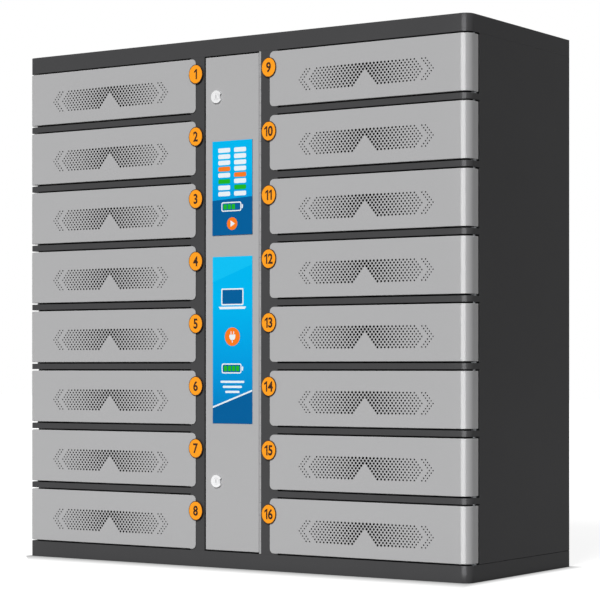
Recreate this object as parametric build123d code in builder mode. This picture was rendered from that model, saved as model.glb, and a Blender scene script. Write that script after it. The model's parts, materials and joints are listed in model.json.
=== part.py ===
"""Laptop charging locker: sixteen perforated bay doors in two columns, with a service duct between them.

Millimetres, +X to the right, the fronts face -Y, +Z up. The origin is on the floor, under the middle of
the cabinet's outline. Right-hand pieces are drawn and the left-hand ones are their mirror images.
"""

from build123d import *
from math import cos, radians, sin
import os

# Overall
cabinet_width = 1064.0
cabinet_depth = 408.0
base_height = 32.0
cap_height = 33.5
corner_radius = 19.0
inner_bends = 4
sheet = 1.2
bay_count = 8

# Bay doors
door_height = 107.0
door_gap = 3.0
rail_height = 11.5
rail_depth = 39.0
door_return = 106.5
left_lip_width = 14.5
right_lip_width = 18.3
lip_radius = 9.0
lip_clearance = 0.5
return_clearance = 1.5
return_depth = 22.0
wing_depth = 35.5
wing_gap = 5.5
hinge_pad_width = 24.0

# Pivot studs of the bay doors
pin_radius = 2.5
pin_sides = 8
pin_side_inset = 6.3
pin_setback = 30.0
pin_tail = 2.0
pin_clearance = 0.05
shoulder_width = 9.0
shoulder_play = 0.1

# Perforated field of a bay door
hole_pitch = 8.08
hole_row_pitch = 4.9
hole_rows = 9
hole_count_top_row = 28
field_margin = 4.0
field_drop = 6.3
field_depth = 0.3
notch_first_row = 3
chevron_holes = 2

# Bay locks
bolt_height = 16.0
bolt_thickness = 7.0
bolt_hold = 16.0
bolt_travel = 8.0
bolt_clearance = 0.4
bolt_tip_chamfer = 3.0
bolt_setback = 14.0
bolt_rise = 60.0
case_width = 27.0
case_depth = 24.0
case_height = 44.0

# Upright stiles, dividers and side panels
duct_left = 71.0
duct_right = 66.9
jamb_depth = 21.8
stile_depth = 45.0
panel_return = 14.0
notch_clearance = 0.3

# Service door
service_gap = 4.0
service_return = 16.0
lock_from_edge = 28.0
lock_drop = 79.2
lock_rise = 137.1
display_width = 96.5
display_height = 186.5
display_drop = 168.0
display_thickness = 1.5
display_body_inset = 5.0
display_body_depth = 10.0
display_clearance = 0.5
face_offset = 1.4
sign_width = 96.0
sign_height = 330.0
sign_gap = 42.4
sign_thickness = 0.8

# Piano hinge of the service door
barrel_radius = 2.2
barrel_wall_gap = 0.3
barrel_setback = 2.0
hinge_leaf_thickness = 0.9
hinge_leaf_depth = 14.0
hinge_leaf_start = 2.8
hinge_knuckles = 3
hinge_knuckle_gap = 0.3
hinge_pin_radius = 1.2
hinge_end_gap = 0.5

# Cam locks
lock_head_radius = 12.8
lock_head_height = 4.0
lock_body_radius = 9.5
lock_body_clearance = 0.1
lock_plug_radius = 6.2
lock_plug_clearance = 0.1
lock_nut_width = 26.0
lock_nut_height = 5.0
key_slot_width = 1.6
key_slot_length = 8.0
key_slot_depth = 3.0
cam_length = 41.5
cam_width = 14.0
cam_thickness = 2.5
cam_gap = 0.8

# Charging modules, one in each bay's inner rear corner
module_depth = 44.0
module_height = 30.0
module_plate = 3.0
module_body_inset = 4.0
module_body_length = 22.0
module_rear_gap = 18.0
module_lift = 14.0
port_width = 9.0
port_height = 3.2
port_depth = 2.0

# Electronics and rear wall of the service duct
supply_width = 62.0
supply_depth = 110.0
supply_height = 220.0
supply_chamfer = 3.0
supply_rise = 120.0
supply_spacing = 320.0
supply_count = 2
supply_setback = 60.0
board_depth = 120.0
board_height = 180.0
board_thickness = 1.6
board_rise = 620.0
board_setback = 60.0
standoff_width = 6.0
standoff_height = 8.0
standoff_inset = 8.0
inlet_width = 50.0
inlet_height = 24.0
inlet_flange = 2.5
inlet_body_width = 28.0
inlet_body_height = 20.0
inlet_body_depth = 22.0
inlet_socket_wall = 2.0
inlet_socket_depth = 16.0
inlet_rise = 92.0
inlet_clearance = 0.3
vent_width = 80.0
vent_height = 4.0
vent_pitch = 12.0
vent_count = 6
vent_low_rise = 220.0
vent_high_drop = 130.0

# Levels and planes that follow from the sizes above
half_width = cabinet_width / 2
door_front = -cabinet_depth / 2
door_proud = sheet + lip_clearance
frame_front = door_front + door_proud
frame_radius = corner_radius - door_proud
rear_face = cabinet_depth / 2
inner_rear = rear_face - sheet
inner_side = half_width - sheet
panel_front = door_front + wing_depth + wing_gap
opening_height = door_height + 2 * door_gap
bay_pitch = opening_height + rail_height
frame_top = base_height + bay_count * bay_pitch - rail_height
cabinet_height = frame_top + cap_height
first_rail = base_height + opening_height
rail_levels = [first_rail + row * bay_pitch for row in range(bay_count - 1)]
bay_wall = door_return - return_clearance
pin_x = half_width - pin_side_inset
pin_y = door_front + pin_setback
bay_floors = [base_height + row * bay_pitch for row in range(bay_count)]
door_levels = [floor + door_gap for floor in bay_floors]
bolt_y = door_front + bolt_setback
bolt_length = bolt_hold + bolt_travel
service_bottom = base_height + door_gap
service_top = frame_top - door_gap
barrel_x = duct_right - barrel_radius - barrel_wall_gap
barrel_y = door_front + barrel_setback
barrel_wall = barrel_radius + barrel_wall_gap
service_left = -duct_left + service_gap
service_right = barrel_x - barrel_wall
face_x = (service_left + service_right) / 2 + face_offset
lock_x = service_left + lock_from_edge
upper_lock_z = service_top - lock_drop
lower_lock_z = service_bottom + lock_rise
display_z = service_top - display_drop - display_height / 2
sign_z = display_z - display_height / 2 - sign_gap - sign_height / 2
cam_front = frame_front + jamb_depth + cam_gap

os.makedirs("parts", exist_ok=True)


def box_between(low, high, mode=Mode.ADD):
    """A block between two corners, which joins the part in hand."""
    with Locations((Vector(*low) + Vector(*high)) / 2):
        Box(*(b - a for a, b in zip(low, high)), mode=mode)


def cut_between(low, high):
    """A block between two corners, taken out of the part in hand."""
    box_between(low, high, Mode.SUBTRACT)


def write(piece, name):
    """Label one node and write it to its STEP file."""
    piece.label = name
    export_step(piece, f"parts/{name}.step")


# Top cap and base plinth, folded boxes that the rear panel closes
def folded_box(bottom, height, plate):
    """A box with rounded front corners and an open back, whose plate towards the bays starts at plate."""
    with BuildPart() as box:
        with BuildSketch(Plane.XY.offset(bottom)):
            with BuildLine():
                Polyline(
                    (-half_width, rear_face),
                    (-half_width, frame_front),
                    (half_width, frame_front),
                    (half_width, rear_face),
                    close=True,
                )
            make_face()
            front = vertices().group_by(Axis.Y)[0]
            fillet(front, frame_radius)
        extrude(amount=height)
        with BuildSketch(Plane.XY.offset(bottom + sheet)):
            with BuildLine():
                Polyline(
                    (-inner_side, rear_face),
                    (-inner_side, frame_front + sheet),
                    (inner_side, frame_front + sheet),
                    (inner_side, rear_face),
                    close=True,
                )
            make_face()
            front = vertices().group_by(Axis.Y)[0]
            fillet(front, frame_radius - sheet)
        extrude(amount=height - 2 * sheet, mode=Mode.SUBTRACT)
        cut_between((-inner_side, inner_rear, plate), (inner_side, rear_face, plate + sheet))
    return box


base_plinth = folded_box(0, base_height, base_height - sheet)
write(base_plinth.part, "base_plinth")
top_cap = folded_box(frame_top, cap_height, frame_top)
write(top_cap.part, "top_cap")


# Side panel, a sheet whose front edge is folded in, with a notch at each rail
with BuildPart() as side_panel_right:
    box_between((inner_side, panel_front, base_height), (half_width, rear_face, frame_top))
    box_between(
        (inner_side - panel_return, panel_front, base_height),
        (inner_side, panel_front + sheet, frame_top),
    )
    for level in rail_levels:
        cut_between(
            (inner_side - panel_return, panel_front, level - notch_clearance),
            (inner_side, panel_front + sheet, level + rail_height + notch_clearance),
        )
write(side_panel_right.part, "side_panel_right")

with BuildPart() as side_panel_left:
    mirror(side_panel_right.part, about=Plane.YZ)
write(side_panel_left.part, "side_panel_left")


# Rear panel, with vents and the mains inlet's cut-out behind the service duct
with BuildPart() as rear_panel:
    box_between((-inner_side, inner_rear, sheet), (inner_side, rear_face, cabinet_height - sheet))
    vent_levels = [vent_low_rise + row * vent_pitch for row in range(vent_count)]
    vent_levels += [frame_top - vent_high_drop + row * vent_pitch for row in range(vent_count)]
    with BuildSketch(Plane.XZ.offset(-rear_face)):
        with Locations([(0, level) for level in vent_levels]):
            Rectangle(vent_width, vent_height)
        with Locations((0, inlet_rise)):
            Rectangle(inlet_body_width + 2 * inlet_clearance, inlet_body_height + 2 * inlet_clearance)
    extrude(amount=sheet, mode=Mode.SUBTRACT)
write(rear_panel.part, "rear_panel")


# Stiles, open channels beside the service door that hold the bay locks
def stile(jamb):
    """The right-hand channel, whose jamb stands this far from the cabinet's middle."""
    with BuildPart() as channel:
        box_between((jamb, frame_front, base_height), (bay_wall, frame_front + sheet, frame_top))
        box_between((jamb, frame_front, base_height), (jamb + sheet, frame_front + jamb_depth, frame_top))
        box_between((bay_wall - sheet, frame_front, base_height), (bay_wall, frame_front + stile_depth, frame_top))
        for level in door_levels:
            half_hole = bolt_height / 2 + bolt_clearance
            cut_between(
                (bay_wall - sheet, bolt_y - bolt_thickness / 2 - bolt_clearance, level + bolt_rise - half_hole),
                (bay_wall, bolt_y + bolt_thickness / 2 + bolt_clearance, level + bolt_rise + half_hole),
            )
    return channel


stile_right = stile(duct_right)
write(stile_right.part, "stile_right")

with BuildPart() as stile_left:
    mirror(stile(duct_left).part, about=Plane.YZ)
write(stile_left.part, "stile_left")


# Dividers between the bays and the service duct, with a cut-out for each charging module
module_y = inner_rear - module_rear_gap - module_depth / 2
module_levels = [floor + module_lift + module_height / 2 for floor in bay_floors]

with BuildPart() as divider_right:
    box_between(
        (bay_wall - sheet, frame_front + stile_depth, base_height),
        (bay_wall, inner_rear, frame_top),
    )
    with BuildSketch(Plane.YZ.offset(bay_wall - sheet)):
        with Locations([(module_y, level) for level in module_levels]):
            Rectangle(module_depth - 2 * module_body_inset, module_height - 2 * module_body_inset)
    extrude(amount=sheet, mode=Mode.SUBTRACT)
write(divider_right.part, "divider_right")

with BuildPart() as divider_left:
    mirror(divider_right.part, about=Plane.YZ)
write(divider_left.part, "divider_left")


# Bay shelf, a tray turned upside down whose folded front edge is the rail between two doors
with BuildPart() as shelf:
    with BuildSketch():
        with BuildLine():
            Polyline(
                (bay_wall, inner_rear),
                (bay_wall, frame_front),
                (half_width, frame_front),
                (half_width, panel_front),
                (inner_side, panel_front),
                (inner_side, inner_rear),
                close=True,
            )
        make_face()
        rail_corner = vertices().group_by(Axis.Y)[0].sort_by(Axis.X)[-1]
        fillet(rail_corner, frame_radius)
    extrude(amount=rail_height)
    with BuildSketch(Plane.XY.offset(sheet)):
        with BuildLine():
            Polyline(
                (bay_wall + sheet, frame_front + rail_depth),
                (bay_wall + sheet, frame_front + sheet),
                (inner_side, frame_front + sheet),
                (inner_side, frame_front + rail_depth - sheet),
                (inner_side - sheet, frame_front + rail_depth - sheet),
                (inner_side - sheet, frame_front + rail_depth),
                close=True,
            )
        make_face()
        rail_corner = vertices().group_by(Axis.Y)[0].sort_by(Axis.X)[-1]
        chamfer(rail_corner, frame_radius - sheet)
    extrude(amount=rail_height - 2 * sheet, mode=Mode.SUBTRACT)
    cut_between(
        (bay_wall + sheet, frame_front + rail_depth, 0),
        (inner_side - sheet, inner_rear - sheet, rail_height - sheet),
    )

with BuildPart() as bay_shelves_right:
    with Locations([(0, 0, level) for level in rail_levels]):
        add(shelf.part)
write(bay_shelves_right.part, "bay_shelves_right")

with BuildPart() as bay_shelves_left:
    mirror(bay_shelves_right.part, about=Plane.YZ)
write(bay_shelves_left.part, "bay_shelves_left")


# Pivot studs of the bay doors, with a hexagonal shoulder under each door
pin_reach = door_gap + sheet + pin_tail

with BuildPart() as pivot_studs:
    for floor in bay_floors:
        with BuildSketch(Plane.XY.offset(floor)):
            with Locations((-pin_x, pin_y), (pin_x, pin_y)):
                RegularPolygon(shoulder_width / 2, 6, major_radius=False)
        extrude(amount=door_gap - shoulder_play)
        for bottom in (floor, floor + opening_height - pin_reach):
            with BuildSketch(Plane.XY.offset(bottom)):
                with Locations((-pin_x, pin_y), (pin_x, pin_y)):
                    RegularPolygon(pin_radius, pin_sides)
            extrude(amount=pin_reach)
write(pivot_studs.part, "pivot_studs")


# Bay door, a folded sheet pan with a lip over the stile and a wing round the cabinet's corner
field_z = door_height / 2 - field_drop
field_half_height = (hole_rows - 1) / 2 * hole_row_pitch + field_margin / 2
field_half_top = (hole_count_top_row - 1) / 2 * hole_pitch + field_margin
field_point = field_half_top + (hole_rows - 1) / 2 * hole_pitch / 2
notch_half = (hole_rows - notch_first_row) / 2 * hole_pitch - field_margin
notch_top = ((hole_rows - 1) / 2 - notch_first_row) * hole_row_pitch + field_margin / 4
chevron_width = chevron_holes * hole_pitch
bends = [radians(90 * bend / inner_bends) for bend in range(inner_bends + 1)]
inner_corner = [
    (
        half_width - corner_radius + (corner_radius - sheet) * sin(bend),
        door_front + corner_radius - (corner_radius - sheet) * cos(bend),
    )
    for bend in bends
]


def door_pan(lip_width):
    """A right-hand door with a lip of this width, whose lower edge is at z = 0."""
    inner_edge = door_return - lip_width
    field_x = (inner_edge + half_width) / 2
    with BuildPart() as pan:
        with BuildSketch():
            with BuildLine():
                Polyline(
                    (door_return, door_front),
                    (half_width, door_front),
                    (half_width, door_front + wing_depth),
                    (half_width - hinge_pad_width, door_front + wing_depth),
                    (half_width - hinge_pad_width, door_front + return_depth),
                    (door_return, door_front + return_depth),
                    close=True,
                )
            make_face()
            door_corner = vertices().group_by(Axis.Y)[0].sort_by(Axis.X)[-1]
            fillet(door_corner, corner_radius)
        extrude(amount=door_height)
        with BuildSketch(Plane.XY.offset(sheet)):
            with BuildLine():
                Polyline(
                    (door_return + sheet, door_front + sheet),
                    *inner_corner,
                    (inner_side, door_front + wing_depth),
                    (door_return + sheet, door_front + wing_depth),
                    close=True,
                )
            make_face()
        extrude(amount=door_height - 2 * sheet, mode=Mode.SUBTRACT)
        with BuildSketch(Plane.XZ.offset(-door_front)):
            with Locations((inner_edge, 0)):
                Rectangle(lip_width + sheet, door_height, align=(Align.MIN, Align.MIN))
            lip_corners = vertices().group_by(Axis.X)[0]
            fillet(lip_corners, lip_radius)
        extrude(amount=-sheet)
        with BuildSketch():
            with Locations((pin_x, pin_y)):
                RegularPolygon(pin_radius + pin_clearance, pin_sides, major_radius=False)
        extrude(amount=door_height, mode=Mode.SUBTRACT)
        cut_between(
            (
                door_return,
                bolt_y - bolt_thickness / 2 - bolt_clearance,
                bolt_rise - bolt_height / 2 - bolt_clearance,
            ),
            (
                door_return + sheet,
                bolt_y + bolt_thickness / 2 + bolt_clearance,
                bolt_rise + bolt_height / 2 + bolt_clearance,
            ),
        )
        with BuildSketch(Plane((field_x, door_front, field_z), x_dir=(1, 0, 0), z_dir=(0, -1, 0))):
            with BuildLine():
                Polyline(
                    (-field_half_top, field_half_height),
                    (field_half_top, field_half_height),
                    (field_point, 0),
                    (field_half_top, -field_half_height),
                    (notch_half, -field_half_height),
                    (0, notch_top),
                    (-notch_half, -field_half_height),
                    (-field_half_top, -field_half_height),
                    (-field_point, 0),
                    close=True,
                )
            make_face()
            for side in (-1, 1):
                with BuildLine():
                    Polyline(
                        (side * (field_half_top + hole_pitch), field_half_height),
                        (side * (field_half_top + hole_pitch + chevron_width), field_half_height),
                        (side * (field_point + hole_pitch + chevron_width), 0),
                        (side * (field_half_top + hole_pitch + chevron_width), -field_half_height),
                        (side * (field_half_top + hole_pitch), -field_half_height),
                        (side * (field_point + hole_pitch), 0),
                        close=True,
                    )
                make_face()
        extrude(amount=-field_depth, mode=Mode.SUBTRACT)
    return pan


right_pan = door_pan(right_lip_width)
left_pan = door_pan(left_lip_width)

for row, level in enumerate(reversed(door_levels)):
    with BuildPart() as door_right:
        with Locations((0, 0, level)):
            add(right_pan.part)
    write(door_right.part, f"door_{row + bay_count + 1:02d}")
    with BuildPart() as door_left:
        with Locations((0, 0, level)):
            add(left_pan.part)
        mirror(about=Plane.YZ, mode=Mode.REPLACE)
    write(door_left.part, f"door_{row + 1:02d}")


# Bay locks: a case behind each stile, whose bolt slides into the slot in the door's return
case_x = bay_wall - sheet
bolt_tip = bay_wall - bolt_clearance

with BuildPart() as lock_case:
    box_between(
        (case_x - case_width, frame_front + sheet, bolt_rise - case_height / 2),
        (case_x, frame_front + sheet + case_depth, bolt_rise + case_height / 2),
    )
    cut_between(
        (
            bolt_tip - bolt_length - bolt_clearance,
            bolt_y - bolt_thickness / 2 - bolt_clearance,
            bolt_rise - bolt_height / 2 - bolt_clearance,
        ),
        (
            case_x,
            bolt_y + bolt_thickness / 2 + bolt_clearance,
            bolt_rise + bolt_height / 2 + bolt_clearance,
        ),
    )

with BuildPart() as lock_bolt:
    box_between(
        (bolt_tip - bolt_length, bolt_y - bolt_thickness / 2, bolt_rise - bolt_height / 2),
        (bolt_tip, bolt_y + bolt_thickness / 2, bolt_rise + bolt_height / 2),
    )
    tip_edge = edges().filter_by(Axis.Z).group_by(Axis.X)[-1].sort_by(Axis.Y)[0]
    chamfer(tip_edge, bolt_tip_chamfer)

with BuildPart() as lock_cases:
    with Locations([(0, 0, level) for level in door_levels]):
        add(lock_case.part)
    mirror(about=Plane.YZ)
write(lock_cases.part, "lock_cases")

for row, level in enumerate(reversed(door_levels)):
    with BuildPart() as bolt_right:
        with Locations((0, 0, level)):
            add(lock_bolt.part)
    write(bolt_right.part, f"lock_bolt_{row + bay_count + 1:02d}")
    with BuildPart() as bolt_left:
        mirror(bolt_right.part, about=Plane.YZ)
    write(bolt_left.part, f"lock_bolt_{row + 1:02d}")


# Charging modules, set through the dividers
with BuildPart() as charging_module:
    box_between(
        (bay_wall, module_y - module_depth / 2, module_lift),
        (bay_wall + module_plate, module_y + module_depth / 2, module_lift + module_height),
    )
    box_between(
        (
            bay_wall - module_body_length,
            module_y - module_depth / 2 + module_body_inset,
            module_lift + module_body_inset,
        ),
        (
            bay_wall,
            module_y + module_depth / 2 - module_body_inset,
            module_lift + module_height - module_body_inset,
        ),
    )
    cut_between(
        (
            bay_wall + module_plate - port_depth,
            module_y - port_width / 2,
            module_lift + module_height / 2 - port_height / 2,
        ),
        (
            bay_wall + module_plate,
            module_y + port_width / 2,
            module_lift + module_height / 2 + port_height / 2,
        ),
    )

with BuildPart() as charging_modules:
    with Locations([(0, 0, floor) for floor in bay_floors]):
        add(charging_module.part)
    mirror(about=Plane.YZ)
write(charging_modules.part, "charging_modules")


# Service door, a sheet pan with holes for its locks and its display
with BuildPart() as service_door:
    box_between(
        (service_left, door_front, service_bottom),
        (service_right, door_front + service_return, service_top),
    )
    cut_between(
        (service_left + sheet, door_front + sheet, service_bottom + sheet),
        (service_right - sheet, door_front + service_return, service_top - sheet),
    )
    with BuildSketch(Plane.XZ.offset(-door_front)):
        with Locations((lock_x, upper_lock_z), (lock_x, lower_lock_z)):
            Circle(lock_body_radius + lock_body_clearance)
        with Locations((face_x, display_z)):
            Rectangle(
                display_width - 2 * display_body_inset,
                display_height - 2 * display_body_inset,
            )
    extrude(amount=-sheet, mode=Mode.SUBTRACT)
write(service_door.part, "service_door")

with BuildPart() as touch_display:
    with BuildSketch(Plane.XZ.offset(-door_front)):
        with Locations((face_x, display_z)):
            Rectangle(display_width, display_height)
    extrude(amount=display_thickness)
    with BuildSketch(Plane.XZ.offset(-door_front)):
        with Locations((face_x, display_z)):
            Rectangle(
                display_width - 2 * (display_body_inset + display_clearance),
                display_height - 2 * (display_body_inset + display_clearance),
            )
    extrude(amount=-display_body_depth)
write(touch_display.part, "touch_display")

with BuildPart() as info_sign:
    with BuildSketch(Plane.XZ.offset(-door_front)):
        with Locations((face_x, sign_z)):
            Rectangle(sign_width, sign_height)
    extrude(amount=sign_thickness)
write(info_sign.part, "info_sign")


# Piano hinge between the service door and the right-hand stile
hinge_bottom = base_height + hinge_end_gap
hinge_top = frame_top - hinge_end_gap
knuckle_pitch = (hinge_top - hinge_bottom + hinge_knuckle_gap) / hinge_knuckles
knuckle_length = knuckle_pitch - hinge_knuckle_gap


def hinge_leaf(side, first_knuckle):
    """One leaf, on the door's side (-1) or the stile's (1) of the pin, with every second knuckle."""
    near, far = sorted((barrel_x + side * (barrel_wall - hinge_leaf_thickness), barrel_x + side * barrel_wall))
    low = service_bottom if side < 0 else hinge_bottom
    high = service_top if side < 0 else hinge_top
    with BuildPart() as leaf:
        box_between((near, barrel_y + hinge_leaf_start, low), (far, barrel_y + hinge_leaf_depth, high))
        for knuckle in range(first_knuckle, hinge_knuckles, 2):
            bottom = hinge_bottom + knuckle * knuckle_pitch
            top = bottom + knuckle_length
            with BuildSketch(Plane.XY.offset(bottom)):
                with Locations((barrel_x, barrel_y)):
                    Circle(barrel_radius)
            extrude(amount=knuckle_length)
            box_between(
                (near, barrel_y, max(bottom, low)),
                (far, barrel_y + hinge_leaf_start, min(top, high)),
            )
        with BuildSketch(Plane.XY.offset(hinge_bottom)):
            with Locations((barrel_x, barrel_y)):
                RegularPolygon(hinge_pin_radius + pin_clearance, pin_sides, major_radius=False)
        extrude(amount=hinge_top - hinge_bottom, mode=Mode.SUBTRACT)
    return leaf


service_hinge_fixed_leaf = hinge_leaf(1, 0)
write(service_hinge_fixed_leaf.part, "service_hinge_fixed_leaf")
service_hinge_door_leaf = hinge_leaf(-1, 1)
write(service_hinge_door_leaf.part, "service_hinge_door_leaf")

with BuildPart() as service_hinge_pin:
    with BuildSketch(Plane.XY.offset(hinge_bottom)):
        with Locations((barrel_x, barrel_y)):
            RegularPolygon(hinge_pin_radius, pin_sides)
    extrude(amount=hinge_top - hinge_bottom)
write(service_hinge_pin.part, "service_hinge_pin")


# Cam locks: a housing clamped in the door by a nut, and a plug that carries the cam
lock_body_length = cam_front - door_front - cam_gap
lock_places = [(lock_x, upper_lock_z), (lock_x, lower_lock_z)]

with BuildPart() as cam_lock_housings:
    with BuildSketch(Plane.XZ.offset(-door_front)):
        with Locations(lock_places):
            Circle(lock_head_radius)
    extrude(amount=lock_head_height)
    with BuildSketch(Plane.XZ.offset(-door_front)):
        with Locations(lock_places):
            Circle(lock_body_radius)
    extrude(amount=-lock_body_length)
    with BuildSketch(Plane.XZ.offset(-door_front + lock_head_height)):
        with Locations(lock_places):
            Circle(lock_plug_radius + lock_plug_clearance)
    extrude(amount=-lock_head_height - lock_body_length, mode=Mode.SUBTRACT)
write(cam_lock_housings.part, "cam_lock_housings")

with BuildPart() as cam_lock_nuts:
    with BuildSketch(Plane.XZ.offset(-door_front - sheet)):
        with Locations(lock_places):
            RegularPolygon(lock_nut_width / 2, 6, major_radius=False)
            Circle(lock_body_radius + lock_body_clearance, mode=Mode.SUBTRACT)
    extrude(amount=-lock_nut_height)
write(cam_lock_nuts.part, "cam_lock_nuts")


def cam_lock(level):
    """A plug with its key slot in front and its cam, pointing down, behind."""
    with BuildPart() as lock:
        with BuildSketch(Plane.XZ.offset(-door_front + lock_head_height)):
            with Locations((lock_x, level)):
                Circle(lock_plug_radius)
        extrude(amount=-lock_head_height - lock_body_length - cam_gap)
        with BuildSketch(Plane.XZ.offset(-cam_front)):
            with Locations((lock_x, level + cam_width / 2)):
                Rectangle(cam_width, cam_length, align=(Align.CENTER, Align.MAX))
            chamfer(vertices(), cam_width / 4)
        extrude(amount=-cam_thickness)
        with BuildSketch(Plane.XZ.offset(-door_front + lock_head_height)):
            with Locations((lock_x, level)):
                Rectangle(key_slot_width, key_slot_length)
        extrude(amount=-key_slot_depth, mode=Mode.SUBTRACT)
    return lock


cam_lock_upper = cam_lock(upper_lock_z)
write(cam_lock_upper.part, "cam_lock_upper")
cam_lock_lower = cam_lock(lower_lock_z)
write(cam_lock_lower.part, "cam_lock_lower")


# Power supplies on the right divider and control board on the left one
with BuildPart() as power_supplies:
    for number in range(supply_count):
        bottom = supply_rise + number * supply_spacing
        box_between(
            (bay_wall - sheet - supply_width, inner_rear - supply_setback - supply_depth, bottom),
            (bay_wall - sheet, inner_rear - supply_setback, bottom + supply_height),
        )
    far_edges = faces().group_by(Axis.X)[0].edges().filter_by(Axis.Z)
    chamfer(far_edges, supply_chamfer)
write(power_supplies.part, "power_supplies")

board_low_y = inner_rear - board_setback - board_depth
divider_face = -bay_wall + sheet

with BuildPart() as control_board:
    box_between(
        (divider_face + standoff_height, board_low_y, board_rise),
        (divider_face + standoff_height + board_thickness, board_low_y + board_depth, board_rise + board_height),
    )
    with BuildSketch(Plane.YZ.offset(divider_face)):
        with Locations((board_low_y + board_depth / 2, board_rise + board_height / 2)):
            with GridLocations(board_depth - 2 * standoff_inset, board_height - 2 * standoff_inset, 2, 2):
                RegularPolygon(standoff_width / 2, 6, major_radius=False)
    extrude(amount=standoff_height)
write(control_board.part, "control_board")

with BuildPart() as mains_inlet:
    with BuildSketch(Plane.XZ.offset(-rear_face)):
        with Locations((0, inlet_rise)):
            Rectangle(inlet_width, inlet_height)
    extrude(amount=-inlet_flange)
    with BuildSketch(Plane.XZ.offset(-rear_face)):
        with Locations((0, inlet_rise)):
            Rectangle(inlet_body_width, inlet_body_height)
    extrude(amount=inlet_body_depth)
    with BuildSketch(Plane.XZ.offset(-rear_face - inlet_flange)):
        with Locations((0, inlet_rise)):
            Rectangle(
                inlet_body_width - 2 * inlet_socket_wall,
                inlet_body_height - 2 * inlet_socket_wall,
            )
    extrude(amount=inlet_socket_depth, mode=Mode.SUBTRACT)
write(mains_inlet.part, "mains_inlet")
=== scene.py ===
import json
import math

import bmesh
import bpy
from mathutils import Matrix, Vector
from mathutils.geometry import delaunay_2d_cdt


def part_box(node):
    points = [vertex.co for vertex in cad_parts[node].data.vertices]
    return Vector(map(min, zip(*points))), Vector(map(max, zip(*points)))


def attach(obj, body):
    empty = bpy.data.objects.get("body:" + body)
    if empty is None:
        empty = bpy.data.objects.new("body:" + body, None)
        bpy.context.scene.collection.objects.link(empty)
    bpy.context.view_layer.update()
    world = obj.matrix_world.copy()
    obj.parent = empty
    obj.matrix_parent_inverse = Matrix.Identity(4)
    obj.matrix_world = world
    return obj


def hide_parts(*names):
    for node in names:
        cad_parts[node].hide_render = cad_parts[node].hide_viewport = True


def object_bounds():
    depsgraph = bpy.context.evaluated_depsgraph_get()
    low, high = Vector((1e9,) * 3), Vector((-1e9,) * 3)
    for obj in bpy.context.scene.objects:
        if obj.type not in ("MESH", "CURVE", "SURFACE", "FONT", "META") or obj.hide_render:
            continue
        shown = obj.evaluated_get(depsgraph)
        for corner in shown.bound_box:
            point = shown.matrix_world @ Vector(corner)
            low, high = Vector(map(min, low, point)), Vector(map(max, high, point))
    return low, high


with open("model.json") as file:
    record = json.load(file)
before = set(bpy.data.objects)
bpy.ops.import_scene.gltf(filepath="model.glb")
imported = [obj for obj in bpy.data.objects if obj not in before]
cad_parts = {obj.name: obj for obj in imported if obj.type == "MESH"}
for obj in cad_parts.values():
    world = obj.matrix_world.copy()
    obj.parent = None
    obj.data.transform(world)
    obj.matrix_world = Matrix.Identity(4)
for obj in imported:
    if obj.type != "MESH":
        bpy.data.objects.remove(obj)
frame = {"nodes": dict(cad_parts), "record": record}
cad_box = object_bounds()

# The laptop charging locker's looks. Metres, +X to the right, the fronts face -Y, +Z up.

nodes = frame["nodes"]
bodies = frame["record"]["behaviour"]["bodies"]
body_of = {node: body for body, members in bodies.items() for node in members}
slot_of = {row["node"]: row["material_slot"] for row in frame["record"]["subparts"]}
mm = 0.001

# Places read from the frame
door_low, door_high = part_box("door_09")
half_width = door_high.x
door_front = door_low.y
door_height = door_high.z - door_low.z
right_lip_edge = door_low.x
left_lip_edge = -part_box("door_01")[1].x
wing_end = door_high.y
service_low, service_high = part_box("service_door")

# Bays: the first eight down the left column, the others down the right
bays_in_column = 8
bays = range(1, 2 * bays_in_column + 1)

# Sheet metal of a right-hand bay door: its inner return is at fold_x, and its pivots near its outer side
sheet = 1.2 * mm
corner_radius = 19 * mm
fold_x = 106.5 * mm
lip_radius = 9 * mm
return_depth = 22 * mm
hinge_pad_width = 24 * mm
bend_radius = 1.3 * mm
bend_steps = 4
corner_steps = 12
lip_steps = 6
pin_inset = 6.3 * mm
pin_setback = 30 * mm
pin_hole_radius = 2.55 * mm
pin_hole_steps = 24
bolt_setback = 14 * mm
bolt_rise = 60 * mm
bolt_slot_depth = 7.8 * mm
bolt_slot_height = 16.8 * mm

# Perforation of a bay door: staggered rows, a notch below and chevrons at each end
hole_pitch = 8.08 * mm
hole_row_pitch = 4.9 * mm
hole_rows = 9
holes_in_top_row = 28
notch_first_row = 3
chevron_holes = 2
field_drop = 6.9 * mm
field_z = door_height / 2 - field_drop
field_half_width = 170 * mm
field_half_height = 26 * mm
right_field_shift = -3.4 * mm
middle_hole_radius = 2.55 * mm
end_hole_radius = 1.35 * mm
hole_steps = 12


def side_of(bay):
    """-1 for a bay of the left column and 1 for one of the right."""
    return -1 if bay <= bays_in_column else 1


# Materials. Grains are in cells a metre, reliefs in metres, and a play is how far roughness strays.

white = (1, 1, 1, 1)
noise_low, noise_high = 0.25, 0.75
drift_scale = 6.0
paint_grain = 1500.0
paint_relief = 0.005 * mm
paint_play = 0.05
metal_grain = 400.0
metal_relief = 0.01 * mm
metal_smoothest, metal_roughest = 0.8, 1.25
metal_shade = 0.9
plastic_grain = 1800.0
plastic_relief = 0.008 * mm
plastic_play = 0.04
plastic_variation = 0.05
print_grain = 900.0
print_play = 0.03
print_specular = 0.06
badge_specular = 0.25


def node_tree(name):
    """A new material with its tree, its shader and its object coordinates."""
    made = bpy.data.materials.new(name)
    made.use_nodes = True
    tree = made.node_tree
    shader = tree.nodes["Principled BSDF"]
    place = tree.nodes.new("ShaderNodeTexCoord")
    return made, tree, shader, place.outputs["Object"]


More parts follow.
